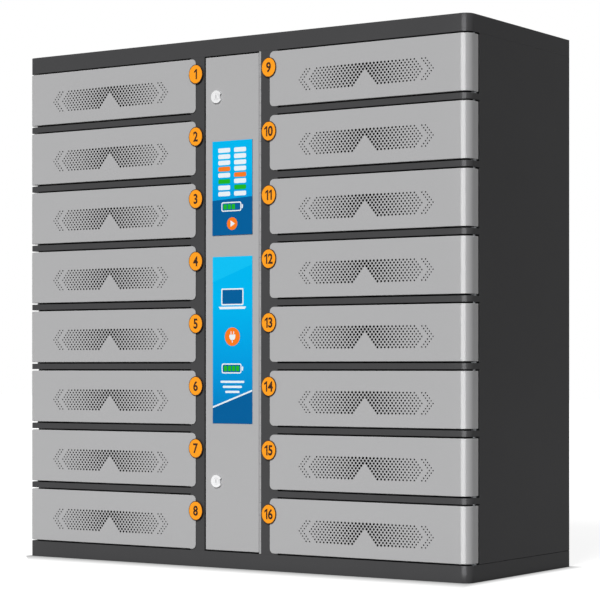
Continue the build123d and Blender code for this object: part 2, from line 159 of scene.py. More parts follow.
def math_step(tree, operation, first, second):
    """One calculation in a material. An input is a value or a socket."""
    step = tree.nodes.new("ShaderNodeMath")
    step.operation = operation
    for socket, value in zip(step.inputs, (first, second)):
        if isinstance(value, (int, float)):
            socket.default_value = value
        else:
            tree.links.new(value, socket)
    return step.outputs["Value"]


def ramped(tree, value, low, high, start, end):
    """A value moved from the range low to high to the range start to end."""
    ranged = tree.nodes.new("ShaderNodeMapRange")
    ranged.inputs["From Min"].default_value = low
    ranged.inputs["From Max"].default_value = high
    ranged.inputs["To Min"].default_value = start
    ranged.inputs["To Max"].default_value = end
    tree.links.new(value, ranged.inputs["Value"])
    return ranged.outputs["Result"]


def coordinates(tree, place):
    """The X, Y and Z of a place, as three values."""
    parts = tree.nodes.new("ShaderNodeSeparateXYZ")
    tree.links.new(place, parts.inputs["Vector"])
    return [parts.outputs[axis] for axis in "XYZ"]


def noise(tree, place, scale, detail=3.0, stretch=(1, 1, 1)):
    """Noise of this many cells a metre, stretched along an axis where it is brushed."""
    mapping = tree.nodes.new("ShaderNodeMapping")
    mapping.inputs["Scale"].default_value = stretch
    tree.links.new(place, mapping.inputs["Vector"])
    texture = tree.nodes.new("ShaderNodeTexNoise")
    texture.inputs["Scale"].default_value = scale
    texture.inputs["Detail"].default_value = detail
    tree.links.new(mapping.outputs["Vector"], texture.inputs["Vector"])
    return texture.outputs["Fac"]


def tint(tree, value, dark, light):
    """A colour between dark and light, after a noise value."""
    mix = tree.nodes.new("ShaderNodeMix")
    mix.data_type = "RGBA"
    mix.inputs["A"].default_value = (*dark, 1)
    mix.inputs["B"].default_value = (*light, 1)
    tree.links.new(value, mix.inputs["Factor"])
    return mix.outputs["Result"]


def grained(tree, shader, grain, smoothest, roughest, relief=0.0):
    """Lets the shader's roughness follow a grain, and raises the grain by its relief."""
    roughness = ramped(tree, grain, noise_low, noise_high, smoothest, roughest)
    tree.links.new(roughness, shader.inputs["Roughness"])
    if relief:
        bump = tree.nodes.new("ShaderNodeBump")
        bump.inputs["Distance"].default_value = relief
        tree.links.new(grain, bump.inputs["Height"])
        tree.links.new(bump.outputs["Normal"], shader.inputs["Normal"])


def srgb(code):
    """A linear colour from a six-figure sRGB code."""
    channels = [int(code[i:i + 2], 16) / 255 for i in (0, 2, 4)]
    return tuple(c / 12.92 if c <= 0.04045 else ((c + 0.055) / 1.055) ** 2.4 for c in channels)


def scaled(color, factor):
    """A colour made darker or lighter."""
    return tuple(min(1.0, channel * factor) for channel in color)


def painted(name, code, roughness, variation, specular, flake=0.0):
    """Textured powder coat: a fine grain in surface and gloss, a slow drift of tone, and metal flake."""
    made, tree, shader, place = node_tree(name)
    color = srgb(code)
    drift = noise(tree, place, drift_scale)
    tone = tint(tree, drift, scaled(color, 1 - variation), scaled(color, 1 + variation))
    tree.links.new(tone, shader.inputs["Base Color"])
    grain = noise(tree, place, paint_grain, detail=2.0)
    grained(tree, shader, grain, roughness - paint_play, roughness + paint_play, paint_relief)
    shader.inputs["Specular IOR Level"].default_value = specular
    shader.inputs["Metallic"].default_value = flake
    return made


def metal(name, code, roughness, stretch=(1, 1, 1), scale=metal_grain, relief=metal_relief):
    """Plated metal with a faint brushed or cast grain."""
    made, tree, shader, place = node_tree(name)
    color = srgb(code)
    grain = noise(tree, place, scale, detail=4.0, stretch=stretch)
    tree.links.new(tint(tree, grain, scaled(color, metal_shade), color), shader.inputs["Base Color"])
    grained(tree, shader, grain, roughness * metal_smoothest, roughness * metal_roughest, relief)
    shader.inputs["Metallic"].default_value = 1.0
    return made


def plastic(name, code, roughness, coat=0.0, specular=0.5):
    """Moulded or printed plastic with a fine spark-eroded grain."""
    made, tree, shader, place = node_tree(name)
    color = srgb(code)
    grain = noise(tree, place, plastic_grain, detail=2.0)
    tone = tint(tree, grain, scaled(color, 1 - plastic_variation), scaled(color, 1 + plastic_variation))
    tree.links.new(tone, shader.inputs["Base Color"])
    grained(tree, shader, grain, roughness - plastic_play, roughness + plastic_play, plastic_relief)
    shader.inputs["Coat Weight"].default_value = coat
    shader.inputs["Specular IOR Level"].default_value = specular
    return made


def ink(name, code):
    """A flat printed colour."""
    return plastic(name, code, roughness=0.35, specular=print_specular)


def graded(name, stops, low, high, roughness):
    """A printed face whose colour runs from the level low to the level high through its stops."""
    made, tree, shader, place = node_tree(name)
    level = ramped(tree, coordinates(tree, place)[2], low, high, 0.0, 1.0)
    ramp = tree.nodes.new("ShaderNodeValToRGB")
    elements = ramp.color_ramp.elements
    for number, (position, code) in enumerate(stops):
        # a new ramp has two stops already
        element = elements[number] if number < 2 else elements.new(position)
        element.position = position
        element.color = (*srgb(code), 1)
    tree.links.new(level, ramp.inputs["Fac"])
    tree.links.new(ramp.outputs["Color"], shader.inputs["Base Color"])
    grain = noise(tree, place, print_grain)
    grained(tree, shader, grain, roughness - print_play, roughness + print_play)
    shader.inputs["Specular IOR Level"].default_value = print_specular
    return made


door_paint = painted("door_paint", "AAAAAB", roughness=0.2, variation=0.015, specular=0.45)
frame_paint = painted("frame_paint", "484849", roughness=0.24, variation=0.05, specular=0.0, flake=0.2)
# painted shade: a near-black paint for the walls of the door holes, standing in for the shade inside them
painted_hole_shade = painted("painted_hole_shade", "1C1C1D", roughness=0.6, variation=0.05, specular=0.1)
zinc = metal("zinc", "6C6E70", roughness=0.42, stretch=(1, 1, 6))
chrome = metal("chrome", "F2F2F3", roughness=0.3, scale=200.0, relief=0.002 * mm)
case_metal = metal("case_metal", "B9BCC0", roughness=0.42, stretch=(1, 1, 0.2), scale=900.0)
dark_plastic = plastic("dark_plastic", "202022", roughness=0.5)
board_green = plastic("board_green", "1E6B3A", roughness=0.35, coat=0.3)
badge_orange = plastic("badge_orange", "FF9E1C", roughness=0.4, specular=badge_specular)
badge_rim = plastic("badge_rim", "3A2412", roughness=0.45, specular=badge_specular)
badge_ink = plastic("badge_ink", "2E1508", roughness=0.45, specular=badge_specular)
ink_white = ink("ink_white", "E6EEF2")
ink_orange = ink("ink_orange", "F57A1E")
ink_green = ink("ink_green", "1FAE25")
ink_navy = ink("ink_navy", "035C96")
ink_sky = ink("ink_sky", "0FBDF0")

slot_materials = {
    "door_steel": door_paint,
    "frame_steel": frame_paint,
    "zinc_steel": zinc,
    "lock_chrome": chrome,
    "black_plastic": dark_plastic,
    "supply_case": case_metal,
    "circuit_board": board_green,
}


# Mesh helpers

broad_edge = 0.3 * mm
sheet_edge = 0.25 * mm
fine_edge = 0.2 * mm
edge_segments = 3
smooth_angle = 35
bevel_angle = 40
flat_angle = 0.5
weld = 0.001 * mm
inside_only = 1
same_point = 1e-9


def applied(mesh, kind, settings):
    """The mesh after one modifier with these settings."""
    carrier = bpy.data.objects.new("carrier", mesh)
    bpy.context.scene.collection.objects.link(carrier)
    modifier = carrier.modifiers.new(kind, kind)
    for key, value in settings.items():
        setattr(modifier, key, value)
    graph = bpy.context.evaluated_depsgraph_get()
    result = bpy.data.meshes.new_from_object(carrier.evaluated_get(graph))
    bpy.data.objects.remove(carrier)
    return result


def shaded(mesh):
    """The mesh with smooth bends between flat faces that stay flat."""
    for polygon in mesh.polygons:
        polygon.use_smooth = True
    mesh.set_sharp_from_angle(angle=math.radians(smooth_angle))
    return applied(mesh, "WEIGHTED_NORMAL", {"keep_sharp": True})


def finished(mesh, name, body, slot):
    """A mesh as a piece of the object: shaded, painted and riding on its body."""
    if not mesh.has_custom_normals:
        mesh = shaded(mesh)
    if not mesh.materials:
        mesh.materials.append(slot_materials[slot])
    piece = bpy.data.objects.new(name, mesh)
    bpy.context.scene.collection.objects.link(piece)
    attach(piece, body)
    return piece


def stand_in(mesh, node):
    """A mesh as the piece that is seen in a CAD node's place."""
    piece = finished(mesh, node + "_finished", body_of[node], slot_of[node])
    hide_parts(node)
    return piece


def mesh_from(form, name, outward=True):
    """The mesh of a form. The faces of closed bodies are first turned to look outward."""
    if outward:
        bmesh.ops.recalc_face_normals(form, faces=form.faces)
    mesh = bpy.data.meshes.new(name)
    form.to_mesh(mesh)
    form.free()
    return mesh


def dressed(node, width, heavy=None, heavy_width=broad_edge, materials=()):
    """A CAD node's own form with broken edges. heavy says which edges get the wider bend."""
    form = bmesh.new()
    form.from_mesh(nodes[node].data)
    bmesh.ops.remove_doubles(form, verts=form.verts, dist=weld)
    bmesh.ops.dissolve_limit(form, angle_limit=math.radians(flat_angle), verts=form.verts, edges=form.edges)
    weights = form.edges.layers.float.new("bevel_weight_edge")
    widest = max(width, heavy_width)
    for edge in form.edges:
        if len(edge.link_faces) == 2 and edge.calc_face_angle(0) > math.radians(bevel_angle):
            wide = heavy is not None and heavy(edge)
            edge[weights] = (heavy_width if wide else width) / widest
    mesh = applied(mesh_from(form, node + "_dressed", outward=False), "BEVEL", {
        "width": widest,
        "segments": edge_segments,
        "limit_method": "WEIGHT",
        "use_clamp_overlap": True,
        "loop_slide": False,
    })
    mesh.materials.clear()
    for material in materials:
        mesh.materials.append(material)
    return stand_in(mesh, node)


def add_face(form, points, outward):
    """A face through these points, turned so that it looks outward."""
    face = form.faces.new([form.verts.new(point) for point in points])
    face.normal_update()
    if face.normal.dot(Vector(outward)) < 0:
        face.normal_flip()


def add_region(form, outline, holes, place, outward):
    """A flat region with holes. place puts a point of the region into space."""
    points = [Vector(point) for point in outline]
    edges = [(i, (i + 1) % len(outline)) for i in range(len(outline))]
    owner = [None] * len(outline)
    for number, hole in enumerate(holes):
        start = len(points)
        points += [Vector(point) for point in hole]
        owner += [number] * len(hole)
        edges += [(start + i, start + (i + 1) % len(hole)) for i in range(len(hole))]
    flat, _, faces, sources, _, _ = delaunay_2d_cdt(points, edges, [], inside_only, same_point)
    hole_of = [owner[source[0]] if source else None for source in sources]
    for face in faces:
        # a face whose corners all lie on one hole fills that hole
        touched = {hole_of[i] for i in face}
        if len(touched) == 1 and None not in touched:
            continue
        add_face(form, [place(*flat[i]) for i in face], outward)


def add_prism(form, front, back):
    """A closed body between two outlines with as many points. Its faces are returned."""
    front = [form.verts.new(point) for point in front]
    back = [form.verts.new(point) for point in back]
    faces = [form.faces.new(front), form.faces.new(back)]
    for i in range(len(front)):
        after = (i + 1) % len(front)
        faces.append(form.faces.new((front[i], front[after], back[after], back[i])))
    return faces


def ring(middle, radius, steps):
    """The corners of a circle in a plane."""
    angles = [2 * math.pi * step / steps for step in range(steps)]
    return [(middle[0] + radius * math.cos(a), middle[1] + radius * math.sin(a)) for a in angles]


def arc(middle, radius, first, last, steps):
    """Points on an arc, its ends included. Angles are in degrees."""
    angles = [math.radians(first + (last - first) * step / steps) for step in range(steps + 1)]
    return [(middle[0] + radius * math.cos(a), middle[1] + radius * math.sin(a)) for a in angles]


def lathe(form, profile, steps, place, material=0):
    """The skin of a turned body. profile holds (radius, depth), and place puts (u, v, depth) in space."""
    rings = []
    for radius, depth in profile:
        rings.append([form.verts.new(place(u, v, depth)) for u, v in ring((0, 0), radius, steps)])
    for inner, outer in zip(rings, rings[1:]):
        for step in range(steps):
            after = (step + 1) % steps
            face = form.faces.new((inner[step], inner[after], outer[after], outer[step]))
            face.material_index = material
    return rings


def turned(form, profile, steps, place, first_material=0, last_material=0):
    """A turned body with flat ends. Its last end has a material of its own."""
    rings = lathe(form, profile, steps, place, first_material)
    form.faces.new(rings[0]).material_index = first_material
    form.faces.new(rings[-1]).material_index = last_material


# Bay doors: folded sheet with real holes, drawn with its lower edge at z = 0

def perforation(middle_x):
    """The holes of a right-hand door round this middle, which get smaller towards the ends."""
    reach = (holes_in_top_row + hole_rows // 2 - 1) / 2 * hole_pitch + (1 + chevron_holes) * hole_pitch
    holes = []
    for row in range(hole_rows):
        count = holes_in_top_row + min(row, hole_rows - 1 - row)
        missing = max(0, row - notch_first_row + 1)
        last = (count - 1) / 2
        places = [i - last for i in range(count) if abs(i - last) >= missing / 2]
        for extra in range(chevron_holes):
            # a chevron leaves one hole's room beside the row
            places += [-(last + 2 + extra), last + 2 + extra]
        z = field_z + ((hole_rows - 1) / 2 - row) * hole_row_pitch
        for place in places:
            share = abs(place * hole_pitch) / reach
            radius = middle_hole_radius + (end_hole_radius - middle_hole_radius) * share
            holes.append(ring((middle_x + place * hole_pitch, z), radius, hole_steps))
    return holes


def door_path():
    """Points of the folded front and corner in plan, each with its outward direction."""
    corner = (half_width - corner_radius, door_front + corner_radius)
    path = [((fold_x, door_front), (0, -1)), ((corner[0], door_front), (0, -1))]
    for step in range(1, corner_steps):
        angle = math.radians(90 * step / corner_steps)
        out = (math.sin(angle), -math.cos(angle))
        path.append(((corner[0] + corner_radius * out[0], corner[1] + corner_radius * out[1]), out))
    path += [((half_width, corner[1]), (1, 0)), ((half_width, wing_end), (1, 0))]
    return path


def moved_in(point, out, inset):
    """A point in plan, moved against its outward direction."""
    return point[0] - out[0] * inset, point[1] - out[1] * inset


def rectangle(low_u, low_v, high_u, high_v):
    """The corners of an upright rectangle."""
    return [(low_u, low_v), (high_u, low_v), (high_u, high_v), (low_u, high_v)]


def door_mesh(lip_edge, field_shift=0.0):
    """One right-hand bay door, whose lip ends at this distance from the middle."""
    form = bmesh.new()
    field_x = (lip_edge + half_width) / 2 + field_shift
    straight_end = half_width - corner_radius
    return_end = door_front + return_depth
    low, high = bend_radius, door_height - bend_radius
    outline = rectangle(fold_x, low, straight_end, high) + [(fold_x, door_height)]
    outline += arc((lip_edge + lip_radius, door_height - lip_radius), lip_radius, 90, 180, lip_steps)
    outline += arc((lip_edge + lip_radius, lip_radius), lip_radius, 180, 270, lip_steps)
    outline += [(fold_x, 0)]
    add_region(form, outline, perforation(field_x), lambda u, v: (u, door_front, v), (0, -1, 0))

    path = door_path()
    for (p, out_p), (q, out_q) in zip(path[1:], path[2:]):
        outward = (out_p[0] + out_q[0], out_p[1] + out_q[1], 0)
        add_face(form, [(*p, low), (*q, low), (*q, high), (*p, high)], outward)
    for side, level in ((-1, low), (1, high)):
        for step in range(bend_steps):
            first, last = (math.pi / 2 * end / bend_steps for end in (step, step + 1))
            for (p, out_p), (q, out_q) in zip(path, path[1:]):
                corners = []
                ends = ((p, out_p, first), (q, out_q, first), (q, out_q, last), (p, out_p, last))
                for point, out, angle in ends:
                    inset = bend_radius * (1 - math.cos(angle))
                    z = level + side * bend_radius * math.sin(angle)
                    corners.append((*moved_in(point, out, inset), z))
                add_face(form, corners, (out_p[0] + out_q[0], out_p[1] + out_q[1], side))
        flange = [moved_in(p, out, bend_radius) for p, out in path]
        flange += [
            (half_width - hinge_pad_width, wing_end),
            (half_width - hinge_pad_width, return_end),
            (fold_x, return_end),
        ]
        pin = ring((half_width - pin_inset, door_front + pin_setback), pin_hole_radius, pin_hole_steps)
        end = level + side * bend_radius
        add_region(form, flange, [pin], lambda u, v, z=end: (u, v, z), (0, 0, side))

    back = rectangle(door_front + sheet, sheet, return_end, door_height - sheet)
    slot_y, half_depth = door_front + bolt_setback, bolt_slot_depth / 2
    slot_low, slot_high = bolt_rise - bolt_slot_height / 2, bolt_rise + bolt_slot_height / 2
    slot = rectangle(slot_y - half_depth, slot_low, slot_y + half_depth, slot_high)
    add_region(form, back, [slot], lambda u, v: (fold_x, u, v), (-1, 0, 0))
    bmesh.ops.remove_doubles(form, verts=form.verts, dist=2 * weld)
    skin = mesh_from(form, "bay_door", outward=False)
    mesh = applied(skin, "SOLIDIFY", {"thickness": sheet, "offset": -1.0, "use_even_offset": True})
    for polygon in mesh.polygons:
        # painted shade: the walls of the holes take a near-black paint that stands in for the shade inside
        # them
        x, y, z = polygon.center
        near = abs(x - field_x) < field_half_width and abs(z - field_z) < field_half_height
        through = abs(polygon.normal.y) < 0.5 and door_front < y < door_front + sheet
        if near and through:
            polygon.material_index = 1
    return mesh


def mirrored(mesh):
    """The same mesh on the other side of the cabinet's middle plane."""
    other = mesh.copy()
    other.transform(Matrix.Scale(-1, 4, (1, 0, 0)))
    other.flip_normals()
    return other


# Number discs on the doors' inner edges

badge_radius = 19.5 * mm
badge_narrowing = 0.88
badge_thickness = 2.5 * mm
badge_drop = 30.5 * mm
badge_overhang = 1.5 * mm
badge_rim_width = 1.2 * mm
badge_steps = 64
digit_height = 20.2 * mm
digit_narrowing = 0.83
digit_boldness = 0.028
digit_relief = 0.15 * mm
digit_gap = 1.6 * mm
font_cap_share = 0.73
font_steps = 8

# The disc from its back to its face: how far in from its radius, and how far out from the door
badge_profile = [
    (0.3 * mm, 0),
    (0, 0.3 * mm),
    (0, badge_thickness - 0.5 * mm),
    (0.4 * mm, badge_thickness - 0.15 * mm),
    (badge_rim_width, badge_thickness - 0.05 * mm),
    (badge_rim_width + 0.3 * mm, badge_thickness - digit_relief),
]

# A figure one with its flag, in shares of its height
one_outline = [(0.36, 0), (0.54, 0), (0.54, 1), (0.42, 1), (0.12, 0.8), (0.12, 0.63), (0.36, 0.76)]


def font_mesh(character):
    """A character of the built-in font, made bolder, in the XY plane."""
    words = bpy.data.curves.new("digit", "FONT")
    words.body = character
    words.size = digit_height / font_cap_share
    words.offset = digit_boldness * words.size
    words.extrude = digit_relief
    words.resolution_u = font_steps
    carrier = bpy.data.objects.new("digit", words)
    bpy.context.scene.collection.objects.link(carrier)
    bpy.context.view_layer.update()
    graph = bpy.context.evaluated_depsgraph_get()
    digit = bpy.data.meshes.new_from_object(carrier.evaluated_get(graph))
    bpy.data.objects.remove(carrier)
    return digit


def one_mesh():
    """The figure one, in the XY plane."""
    form = bmesh.new()
    front, back = (
        [(u * digit_height, v * digit_height, level) for u, v in one_outline]
        for level in (digit_relief, -digit_relief)
    )
    add_prism(form, front, back)
    return mesh_from(form, "one")


def digit_mesh(character):
    """One bold digit standing on z = 0, with its left side at x = 0."""
    digit = one_mesh() if character == "1" else font_mesh(character)
    low = [min(v.co[axis] for v in digit.vertices) for axis in (0, 1)]
    high = [max(v.co[axis] for v in digit.vertices) for axis in (0, 1)]
    digit.transform(Matrix.Translation((-low[0], -low[1], 0)))
    digit.transform(Matrix.Diagonal((digit_narrowing, digit_height / (high[1] - low[1]), 1, 1)))
    digit.transform(Matrix.Rotation(math.pi / 2, 4, "X"))
    return digit


def badge(number, middle_x, middle_z, body):
    """A printed disc with its number. Its materials are those of the face, the rim and the figures."""
    form = bmesh.new()
    turned(
        form,
        [(badge_radius - inset, -height) for inset, height in badge_profile],
        badge_steps,
        lambda u, v, depth: (middle_x + u * badge_narrowing, door_front + depth, middle_z + v),
        first_material=1,
    )
    bmesh.ops.recalc_face_normals(form, faces=form.faces)
    disc_faces = len(form.faces)
    digits = [digit_mesh(character) for character in str(number)]
    widths = [max(v.co.x for v in digit.vertices) - min(v.co.x for v in digit.vertices) for digit in digits]
    left = middle_x - (sum(widths) + digit_gap * (len(digits) - 1)) / 2
    face_y = door_front - badge_thickness + digit_relief
    for digit, width in zip(digits, widths):
        digit.transform(Matrix.Translation((left, face_y, middle_z - digit_height / 2)))
        form.from_mesh(digit)
        left += width + digit_gap
    form.faces.ensure_lookup_table()
    for face in form.faces[disc_faces:]:
        face.material_index = 2
    mesh = mesh_from(form, f"badge_{number:02d}", outward=False)
    for material in (badge_orange, badge_rim, badge_ink):
        mesh.materials.append(material)
    finished(mesh, f"badge_{number:02d}", body, "badge_face")


right_door = shaded(door_mesh(right_lip_edge, right_field_shift))
left_door = shaded(mirrored(door_mesh(left_lip_edge)))
for door in (right_door, left_door):
    door.materials.append(door_paint)
    door.materials.append(painted_hole_shade)
for number in bays:
    name = f"door_{number:02d}"
    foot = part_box(name)[0].z
    side = side_of(number)
    mesh, lip_edge = (left_door, left_lip_edge) if side < 0 else (right_door, right_lip_edge)
    door = finished(mesh, f"bay_{name}", name, "door_steel")
    door.location.z = foot
    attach(door, name)
    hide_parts(name)
    badge(number, side * (lip_edge - badge_overhang), foot + door_height - badge_drop, name)


# Cabinet: the CAD's own forms with broken edges and bent corners

for node in ("top_cap", "base_plinth"):
    dressed(node, broad_edge)
for node in (
    "stile_left", "stile_right", "bay_shelves_left", "bay_shelves_right",
    "rear_panel", "divider_left", "divider_right",
):
    dressed(node, sheet_edge)

# A seam at the side panels' foot, in their outer skin only
seam = 0.9 * mm
skin_depth = 0.6 * mm
foot_edge = 0.5 * mm
for node in ("side_panel_left", "side_panel_right"):
    panel = dressed(node, sheet_edge)
    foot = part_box(node)[0].z
    for vertex in panel.data.vertices:
        outside = abs(vertex.co.x) > half_width - skin_depth
        if outside and vertex.co.z < foot + foot_edge:
            vertex.co.z += seam

for node in ("lock_cases", "charging_modules", "power_supplies", "control_board"):
    dressed(node, sheet_edge)
for node in ("mains_inlet", "cam_lock_nuts", "cam_lock_upper", "cam_lock_lower"):
    dressed(node, fine_edge)
for number in bays:
    dressed(f"lock_bolt_{number:02d}", broad_edge)

service_edge = 1.1 * mm
same_place = 0.01 * mm


def service_front_edge(edge):
    """True for the service door's four bent front edges."""
    a, b = edge.verts[0].co, edge.verts[1].co
    if max(a.y, b.y) > door_front + same_place:
        return False
    for axis in (0, 2):
        for limit in (service_low[axis], service_high[axis]):
            if abs(a[axis] - limit) < same_place and abs(b[axis] - limit) < same_place:
                return True
    return False


dressed("service_door", sheet_edge, service_front_edge, service_edge)


# Pivot studs: round pins with a hexagonal shoulder under each door

pin_radius = 2.5 * mm
pin_steps = 32
pin_gap = 3 * mm
pin_reach = 6.2 * mm
pin_edge = 0.4 * mm
shoulder_radius = 5.2 * mm
shoulder_height = 2.9 * mm
shoulder_sides = 6


def stud(root, way, radius, height):
    """The profile of a stud that stands up or hangs down from its root, with a broken end."""
    return [
        (radius, root),
        (radius, root + way * (height - pin_edge)),
        (radius - pin_edge, root + way * height),
    ]


def pivot_studs():
    """The studs above and below every bay door, in one piece."""
    form = bmesh.new()
    for number in bays:
        low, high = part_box(f"door_{number:02d}")
        middle = (side_of(number) * (half_width - pin_inset), door_front + pin_setback)
        foot, head = low.z - pin_gap, high.z + pin_gap
        for steps, profile in (
            (pin_steps, stud(foot, 1, pin_radius, pin_reach)),
            (pin_steps, stud(head, -1, pin_radius, pin_reach)),
            (shoulder_sides, stud(foot, 1, shoulder_radius, shoulder_height)),
        ):
            turned(form, profile, steps, lambda u, v, z, at=middle: (at[0] + u, at[1] + v, z))
    stand_in(mesh_from(form, "pivot_studs_turned"), "pivot_studs")


pivot_studs()


# Piano hinge with short knuckles, in the box of the CAD's own

hinge_knuckles = 39
knuckle_gap = 0.35 * mm
knuckle_radius = 2.2 * mm
knuckle_edge = 0.25 * mm
knuckle_steps = 20
leaf_thickness = 0.9 * mm
leaf_root = 0.6 * knuckle_radius
barrel_setback = 2.0 * mm
barrel_wall = 2.5 * mm


def hinge_leaf(node, side, first):
    """One leaf on this side of the pin, with every second knuckle from the first that is its own."""
    leaf_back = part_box(node)[1].y
    pin_low, pin_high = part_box("service_hinge_pin")
    pin_x = (pin_low.x + pin_high.x) / 2
    pin_y = door_front + barrel_setback
    form = bmesh.new()
    near = pin_x + side * barrel_wall
    far = near - side * leaf_thickness
    leaf_low = service_low.z if side < 0 else pin_low.z
    leaf_high = service_high.z if side < 0 else pin_high.z
    corners = bmesh.ops.create_cube(form, size=1.0)["verts"]
    size = (leaf_thickness, leaf_back - pin_y - leaf_root, leaf_high - leaf_low)
    middle = ((near + far) / 2, (leaf_back + pin_y + leaf_root) / 2, (leaf_low + leaf_high) / 2)
    bmesh.ops.scale(form, vec=size, verts=corners)
    bmesh.ops.translate(form, vec=middle, verts=corners)
    pitch = (pin_high.z - pin_low.z + knuckle_gap) / hinge_knuckles
    for knuckle in range(first, hinge_knuckles, 2):
        bottom = pin_low.z + knuckle * pitch
        top = bottom + pitch - knuckle_gap
        profile = [
            (knuckle_radius - knuckle_edge, bottom),
            (knuckle_radius, bottom + knuckle_edge),
            (knuckle_radius, top - knuckle_edge),
            (knuckle_radius - knuckle_edge, top),
        ]
        turned(form, profile, knuckle_steps, lambda u, v, level: (pin_x + u, pin_y + v, level))
    stand_in(mesh_from(form, node + "_knuckles"), node)


hinge_leaf("service_hinge_fixed_leaf", 1, 0)
hinge_leaf("service_hinge_door_leaf", -1, 1)
nodes["service_hinge_pin"].data.materials.clear()
nodes["service_hinge_pin"].data.materials.append(zinc)


# Cam locks: turned heads with a notch at the right

lock_head_radius = 12.8 * mm
lock_head_height = 4 * mm
lock_body_radius = 9.5 * mm
lock_bore_radius = 6.3 * mm
lock_edge = 0.4 * mm
lock_steps = 72
notch_half_angle = 24
notch_floor = 9.4 * mm


def lock_housings():
    """Both housings in one piece, as the CAD node has them."""
    low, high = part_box("cam_lock_housings")
    middle_x = (low.x + high.x) / 2
    body_end = high.y - door_front
    form = bmesh.new()
    profile = [
        (lock_bore_radius, body_end),
        (lock_bore_radius, -lock_head_height + lock_edge),
        (lock_bore_radius + lock_edge, -lock_head_height),
        (lock_head_radius - 3 * lock_edge, -lock_head_height),
        (lock_head_radius - lock_edge, -lock_head_height + lock_edge),
        (lock_head_radius, -lock_head_height + 3 * lock_edge),
        (lock_head_radius, 0),
        (lock_body_radius, 0),
        (lock_body_radius, body_end),
        (lock_bore_radius, body_end),
    ]
    for middle_z in (high.z - lock_head_radius, low.z + lock_head_radius):
        def place(u, v, depth, level=middle_z):
            radius, angle = math.hypot(u, v), math.degrees(math.atan2(v, u))
            if abs(angle) < notch_half_angle and radius > notch_floor:
                u, v = u * notch_floor / radius, v * notch_floor / radius
            return (middle_x + u, door_front + depth, level + v)
        lathe(form, profile, lock_steps, place)
    bmesh.ops.remove_doubles(form, verts=form.verts, dist=weld)
    stand_in(mesh_from(form, "lock_housings"), "cam_lock_housings")


lock_housings()


# Printed faces of the display and the sign, in a layout of their own and without lettering

round_steps = 6
plug_steps = 16
button_steps = 40
disc_steps = 48
print_relief = 0.03 * mm
print_root = 0.05 * mm
face_depth = 0.6 * mm
blue_stops = [(0.0, "0472B4"), (0.35, "0298DA"), (0.75, "00B4EC")]


def rounded(middle_u, middle_v, width, height, radius):
    """A rounded rectangle."""
    points = []
    for quarter, (across, up) in enumerate(((1, 1), (-1, 1), (-1, -1), (1, -1))):
        middle = (middle_u + across * (width / 2 - radius), middle_v + up * (height / 2 - radius))
        points += arc(middle, radius, 90 * quarter, 90 * (quarter + 1), round_steps)
    return points


def battery(middle_u, middle_v, width, height, bars):
    """A lying battery with its charge bars."""
    line = height * 0.12
    terminal_u = middle_u + width / 2 + line
    shapes = [
        (2, ink_white, rounded(middle_u, middle_v, width, height, height * 0.2)),
        (2, ink_white, rounded(terminal_u, middle_v, line * 1.4, height * 0.42, line * 0.4)),
        (3, ink_navy, rounded(middle_u, middle_v, width - 2 * line, height - 2 * line, height * 0.12)),
    ]
    room = (width - 3.6 * line) / 4
    for bar in range(bars):
        u = middle_u - width / 2 + 1.8 * line + room * (bar + 0.5)
        shapes.append((4, ink_green, rounded(u, middle_v, room * 0.8, height - 3.8 * line, line * 0.4)))
    return shapes


def laptop(middle_u, foot_v, width):
    """A laptop seen from the front."""
    height = width * 0.62
    line = width * 0.05
    screen_v = foot_v + height / 2 + line
    deck = [(-0.62, 0), (0.62, 0), (0.56, -0.09), (-0.56, -0.09)]
    return [
        (2, ink_white, rounded(middle_u, screen_v, width, height, line)),
        (3, ink_navy, rounded(middle_u, screen_v, width - 2 * line, height - 2 * line, line / 2)),
        (2, ink_white, [(middle_u + u * width, foot_v + v * width) for u, v in deck]),
    ]


def plug(middle_u, middle_v, width):
    """A plug with two pins and the start of its lead."""
    shoulder_v = middle_v + width * 0.3
    body = arc((middle_u, middle_v), width / 2, 180, 360, plug_steps)
    body += [(middle_u + width / 2, shoulder_v), (middle_u - width / 2, shoulder_v)]
    shapes = [(3, ink_white, body)]
    for u, v, length in ((-0.22, 0.5, 0.5), (0.22, 0.5, 0.5), (0, -0.62, 0.4)):
        middle = (middle_u + u * width, middle_v + v * width)
        shapes.append((3, ink_white, rounded(*middle, width * 0.13, width * length, width * 0.06)))
    return shapes


def display_shapes(width, height):
    """A bay map of sixteen tiles over a wide battery and one round key, in shares of the face's size."""
    half, foot, brink = width / 2, -height / 2, -height * 0.13
    shapes = [(1, ink_navy, [(-half, foot), (half, foot), (half, brink + height * 0.03), (-half, brink)])]
    tile_w, tile_h = width * 0.3, height * 0.048
    for column in (-1, 1):
        for row in range(bays_in_column):
            # about one tile in seven is orange, and as many are green
            turn = (row * 5 + (column + 1)) % 7
            color = ink_orange if turn == 1 else ink_green if turn == 4 else ink_white
            v = height * (0.40 - 0.066 * row)
            shapes.append((2, color, rounded(column * width * 0.2, v, tile_w, tile_h, tile_h * 0.3)))
    shapes += battery(-width * 0.02, -height * 0.2, width * 0.5, height * 0.1, 3)
    shapes.append((2, ink_orange, ring((0, -height * 0.38), width * 0.13, button_steps)))
    shapes.append((3, ink_white, [
        (-width * 0.04, -height * 0.345),
        (-width * 0.04, -height * 0.415),
        (width * 0.07, -height * 0.38),
    ]))
    return shapes


